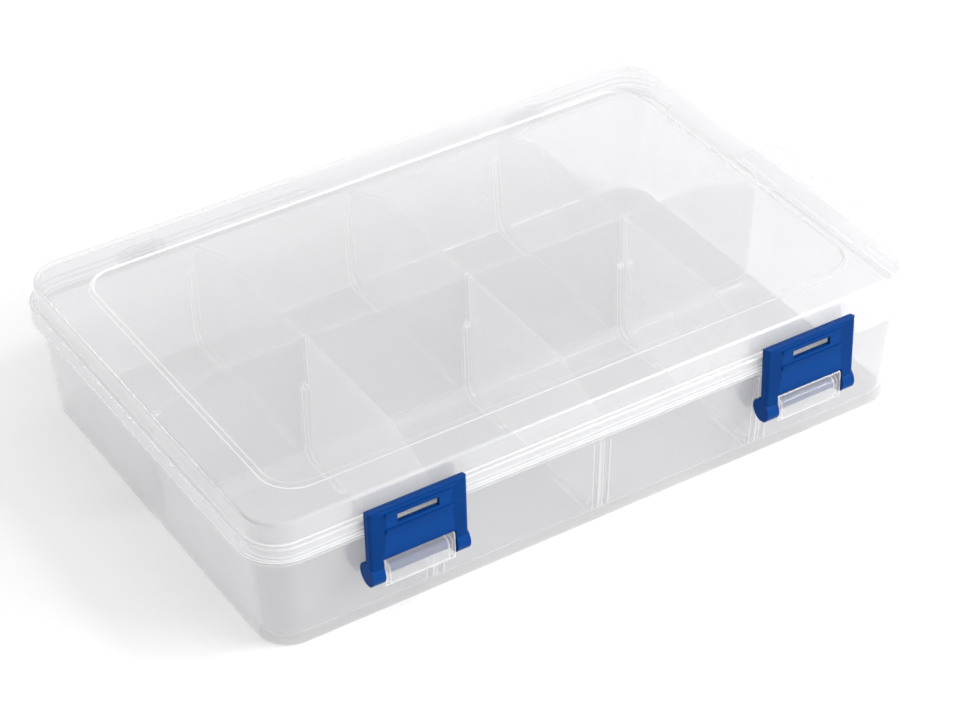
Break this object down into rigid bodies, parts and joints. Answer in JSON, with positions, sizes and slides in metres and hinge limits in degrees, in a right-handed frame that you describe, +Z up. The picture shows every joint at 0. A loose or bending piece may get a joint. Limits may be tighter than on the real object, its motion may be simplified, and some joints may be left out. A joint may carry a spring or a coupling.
{
  "type": "lidded parts sorting tray",
  "caption": "Flat rectangular sorting tray with a hinged clear lid, front clip latches, lift-out cross dividers, a fixed middle partition and a side hang tab.",
  "frame": {"origin": "centre of the tray's underside, on the surface it stands on", "axes": "+Z up, +X along the long front side towards the hang tab, +Y towards the hinge side"},
  "size_m": [0.3205, 0.2141, 0.062],
  "materials": {
    "tray_plastic": "translucent milky polypropylene, glossy",
    "lid_plastic": "translucent milky polypropylene, glossy",
    "divider_plastic": "translucent milky polypropylene, satin",
    "latch_plastic": "opaque blue polypropylene, satin gloss"
  },
  "bodies": {
    "tray": {"tray": "tray_plastic", "divider_front_left": "divider_plastic", "divider_front_middle": "divider_plastic", "divider_front_right": "divider_plastic", "divider_back_left": "divider_plastic", "divider_back_middle": "divider_plastic", "divider_back_right": "divider_plastic"},
    "lid": {"lid": "lid_plastic"},
    "latch_left": {"latch_left": "latch_plastic"},
    "latch_right": {"latch_right": "latch_plastic"}
  },
  "joints": [
    {"name": "lid_hinge", "type": "hinge", "parent": "tray", "child": "lid", "pos_m": [0, 0.1046, 0.046], "axis": [-1, 0, 0], "range_deg": [0, 110]},
    {"name": "latch_left_pivot", "type": "hinge", "parent": "tray", "child": "latch_left", "pos_m": [-0.0865, -0.101, 0.0268], "axis": [1, 0, 0], "range_deg": [0, 120]},
    {"name": "latch_right_pivot", "type": "hinge", "parent": "tray", "child": "latch_right", "pos_m": [0.0898, -0.101, 0.0268], "axis": [1, 0, 0], "range_deg": [0, 120]}
  ]
}
